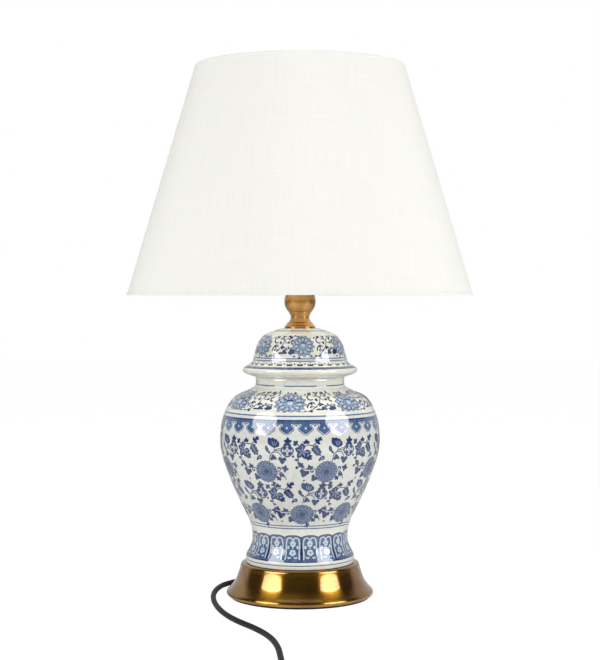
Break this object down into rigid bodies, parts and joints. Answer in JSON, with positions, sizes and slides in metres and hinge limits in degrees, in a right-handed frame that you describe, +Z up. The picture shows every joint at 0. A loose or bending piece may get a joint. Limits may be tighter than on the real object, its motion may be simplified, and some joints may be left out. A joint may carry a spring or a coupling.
{
  "type": "table lamp",
  "caption": "Table lamp with a blue-and-white porcelain ginger jar body on a turned brass base, a white cone shade on a harp and a black mains lead.",
  "frame": {"origin": "centre of the base's underside, on the surface that the lamp stands on", "axes": "+Z up along the jar's axis, -Y towards the front, +X to the right as seen from the front"},
  "size_m": [0.3819, 0.6826, 0.5966],
  "materials": {
    "pad": "matte black foam rubber",
    "antique_brass": "aged brass, dark patina in the hollows, polished on the high spots",
    "plate": "satin black paint",
    "ballast": "as cast",
    "zinc_steel": "zinc plated",
    "gasket": "matte",
    "porcelain": "clear glaze over cobalt-blue brush painting",
    "harp_metal": "satin brass",
    "holder_brass": "satin brass",
    "holder_ceramic": "unglazed",
    "contact_brass": "bright",
    "solder": "tinned",
    "bulb_black": "black glass",
    "bulb_metal": "rolled thread",
    "opal_glass": "opal white",
    "shade_cloth": "white fine woven cloth",
    "shade_liner": "white translucent styrene",
    "white_wire": "white paint",
    "core_brown": "brown insulation",
    "core_blue": "blue insulation",
    "cord_black": "satin black sheath",
    "tie_black": "black coated wire tie",
    "plug_black": "moulded, satin",
    "pin_metal": "nickel plated",
    "switch_black": "moulded",
    "switch_rocker": "moulded"
  },
  "bodies": {
    "lamp": {"base_pad": "pad", "base_shell": "antique_brass", "bottom_plate": "plate", "ballast": "ballast", "plate_screws": "zinc_steel", "cord_clamp": "zinc_steel", "clamp_screws": "zinc_steel", "strain_relief": "cord_black", "foot_gasket": "gasket", "jar": "porcelain", "lid_gasket": "gasket", "lid": "porcelain", "neck_spool": "antique_brass", "threaded_rod": "zinc_steel", "lower_nut": "zinc_steel", "lower_washer": "zinc_steel", "saddle_nut": "zinc_steel", "harp_saddle": "harp_metal", "lampholder_cap": "holder_brass", "lampholder_skirt": "holder_brass", "lampholder_insert": "holder_ceramic", "screw_shell": "contact_brass", "centre_contact": "contact_brass", "holder_terminals": "contact_brass", "inner_sheath": "cord_black", "core_live": "core_brown", "core_neutral": "core_blue", "cord_to_switch": "cord_black", "cord_to_coil": "cord_black", "cord_to_plug": "cord_black", "cord_coil": "cord_black", "coil_tie": "tie_black", "plug_body": "plug_black", "plug_pins": "pin_metal", "switch_base": "switch_black", "switch_cover": "switch_black", "switch_screws": "zinc_steel", "switch_contacts": "contact_brass"},
    "harp": {"harp_wire": "harp_metal", "harp_plate": "harp_metal"},
    "ferrule_left": {"ferrule_left": "harp_metal"},
    "ferrule_right": {"ferrule_right": "harp_metal"},
    "shade": {"shade_cover": "shade_cloth", "shade_liner": "shade_liner", "shade_hem_bottom": "shade_cloth", "shade_hem_top": "shade_cloth", "shade_ring": "white_wire", "shade_spider": "white_wire"},
    "finial": {"finial": "antique_brass"},
    "bulb": {"bulb_contact": "solder", "bulb_insulator": "bulb_black", "bulb_cap": "bulb_metal", "bulb_glass": "opal_glass"},
    "rocker": {"switch_rocker": "switch_rocker"}
  },
  "joints": [
    {"name": "harp_lift", "type": "slide", "parent": "lamp", "child": "harp", "axis": [0, 0, 1], "range_m": [0, 0.02]},
    {"name": "ferrule_left_slide", "type": "slide", "parent": "harp", "child": "ferrule_left", "axis": [0, 0, 1], "range_m": [0, 0.012]},
    {"name": "ferrule_right_slide", "type": "slide", "parent": "harp", "child": "ferrule_right", "axis": [0, 0, 1], "range_m": [0, 0.012]},
    {"name": "shade_turn", "type": "hinge", "parent": "harp", "child": "shade", "pos_m": [0, 0, 0.5666], "axis": [0, 0, 1], "continuous": true},
    {"name": "finial_turn", "type": "hinge", "parent": "harp", "child": "finial", "pos_m": [0, 0, 0.58], "axis": [0, 0, 1], "continuous": true},
    {"name": "bulb_turn", "type": "hinge", "parent": "lamp", "child": "bulb", "pos_m": [0, 0, 0.39], "axis": [0, 0, 1], "continuous": true},
    {"name": "switch_rock", "type": "hinge", "parent": "lamp", "child": "rocker", "pos_m": [0.081, -0.395, 0.0125], "axis": [0, -1, 0], "range_deg": [0, 18]}
  ]
}
